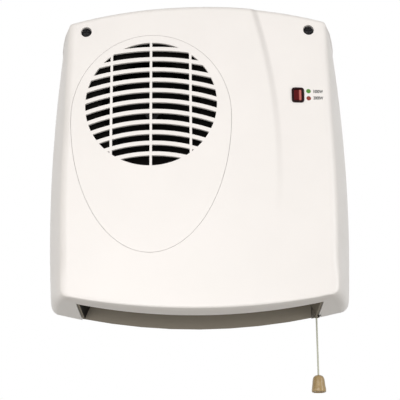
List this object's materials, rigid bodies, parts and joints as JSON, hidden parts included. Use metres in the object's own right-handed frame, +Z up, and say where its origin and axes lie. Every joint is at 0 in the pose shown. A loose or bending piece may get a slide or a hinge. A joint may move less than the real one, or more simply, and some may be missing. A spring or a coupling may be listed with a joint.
{
  "type": "bathroom wall fan heater",
  "caption": "Wall-mounted bathroom downflow fan heater: crowned white cover, curved-slot intake grille, open outlet below, pull-cord switch and a red indicator.",
  "frame": {"origin": "the wall face, at the middle of the cover's outline", "axes": "+X right seen from the room, +Y into the wall, +Z up"},
  "size_m": [0.2648, 0.0878, 0.3275],
  "materials": {
    "casing_white": "fine satin moulded white",
    "grille_white": "fine satin moulded white",
    "screw_black": "blackened steel",
    "housing_grey": "matt warm grey moulding",
    "nozzle_grey": "matt heat-resistant warm grey moulding",
    "guard_black": "matt black",
    "scroll_black": "matt black",
    "impeller_black": "satin black",
    "fastener_steel": "zinc plated",
    "shaft_steel": "ground steel",
    "rotor_cast": "die-cast cage on steel",
    "lamination_steel": "stacked silicon steel sheet",
    "copper": "enamelled copper",
    "bobbin_nylon": "natural nylon",
    "bracket_steel": "pressed zinc plated sheet",
    "bush_bronze": "sintered bronze",
    "frame_black": "matt glass-filled black",
    "heater_aluminium": "bright folded sheet",
    "terminal_nylon": "natural nylon",
    "contact_brass": "bright brass",
    "grommet_rubber": "black rubber",
    "switch_black": "matt phenolic",
    "lever_nylon": "natural nylon",
    "cord_nylon": "braided nylon cord",
    "bush_nylon": "natural nylon",
    "pull_khaki": "polished translucent tan",
    "bezel_black": "polished black",
    "lens_red": "polished tinted red",
    "lamp_glass": "clear neon lamp"
  },
  "bodies": {
    "housing": {"front_cover": "casing_white", "intake_grille": "grille_white", "cover_screw_left": "screw_black", "cover_screw_right": "screw_black", "rear_housing": "housing_grey", "outlet_nozzle": "nozzle_grey", "outlet_guard": "guard_black", "scroll_housing": "scroll_black", "inlet_plate": "scroll_black", "scroll_screw_1": "fastener_steel", "scroll_screw_2": "fastener_steel", "scroll_screw_3": "fastener_steel", "scroll_screw_4": "fastener_steel", "motor_stator": "lamination_steel", "shading_ring_lower": "copper", "shading_ring_upper": "copper", "coil_bobbin": "bobbin_nylon", "motor_coil": "copper", "motor_bracket_front": "bracket_steel", "motor_bracket_rear": "bracket_steel", "motor_bush_front": "bush_bronze", "motor_bush_rear": "bush_bronze", "motor_screw_left": "fastener_steel", "motor_screw_right": "fastener_steel", "heater_frame": "frame_black", "ptc_bar_1": "heater_aluminium", "ptc_bar_2": "heater_aluminium", "heater_fins_1": "heater_aluminium", "heater_fins_2": "heater_aluminium", "heater_fins_3": "heater_aluminium", "thermal_cutout": "bracket_steel", "thermal_fuse": "bracket_steel", "terminal_block": "terminal_nylon", "terminal_screw_1": "contact_brass", "terminal_screw_2": "contact_brass", "terminal_screw_3": "contact_brass", "cable_grommet": "grommet_rubber", "cable_clamp": "terminal_nylon", "clamp_screw_left": "fastener_steel", "clamp_screw_right": "fastener_steel", "pull_switch_body": "switch_black", "switch_tab_1": "contact_brass", "switch_tab_2": "contact_brass", "switch_tab_3": "contact_brass", "cord_bush": "bush_nylon", "indicator_bezel": "bezel_black", "indicator_lens": "lens_red", "indicator_lamp": "lamp_glass"},
    "fan": {"impeller": "impeller_black", "impeller_clip": "fastener_steel", "motor_shaft": "shaft_steel", "motor_rotor": "rotor_cast"},
    "switch_cord": {"switch_cord": "cord_nylon"},
    "switch_lever": {"pull_switch_lever": "lever_nylon"},
    "hanging_cord": {"pull_cord": "cord_nylon", "cord_pull": "pull_khaki"}
  },
  "joints": [
    {"name": "fan_spin", "type": "hinge", "parent": "housing", "child": "fan", "pos_m": [-0.0401, -0.05, 0.0449], "axis": [0, 1, 0], "continuous": true},
    {"name": "lever_turn", "type": "hinge", "parent": "housing", "child": "switch_lever", "pos_m": [0.0867, -0.0085, -0.088], "axis": [0, 1, 0], "range_deg": [0, 24.5]},
    {"name": "cord_pull", "type": "slide", "parent": "housing", "child": "switch_cord", "axis": [0, 0, -1], "range_m": [0, 0.0059], "stiffness_N_per_m": 150, "springref_m": -0.006},
    {"name": "cord_swing", "type": "hinge", "parent": "switch_cord", "child": "hanging_cord", "pos_m": [0.1007, -0.0085, -0.127], "axis": [0, 1, 0], "range_deg": [-25, 25]}
  ],
  "couplings": [
    {"joint": "lever_turn", "follows": "cord_pull", "rad_per_m": 71.43}
  ]
}
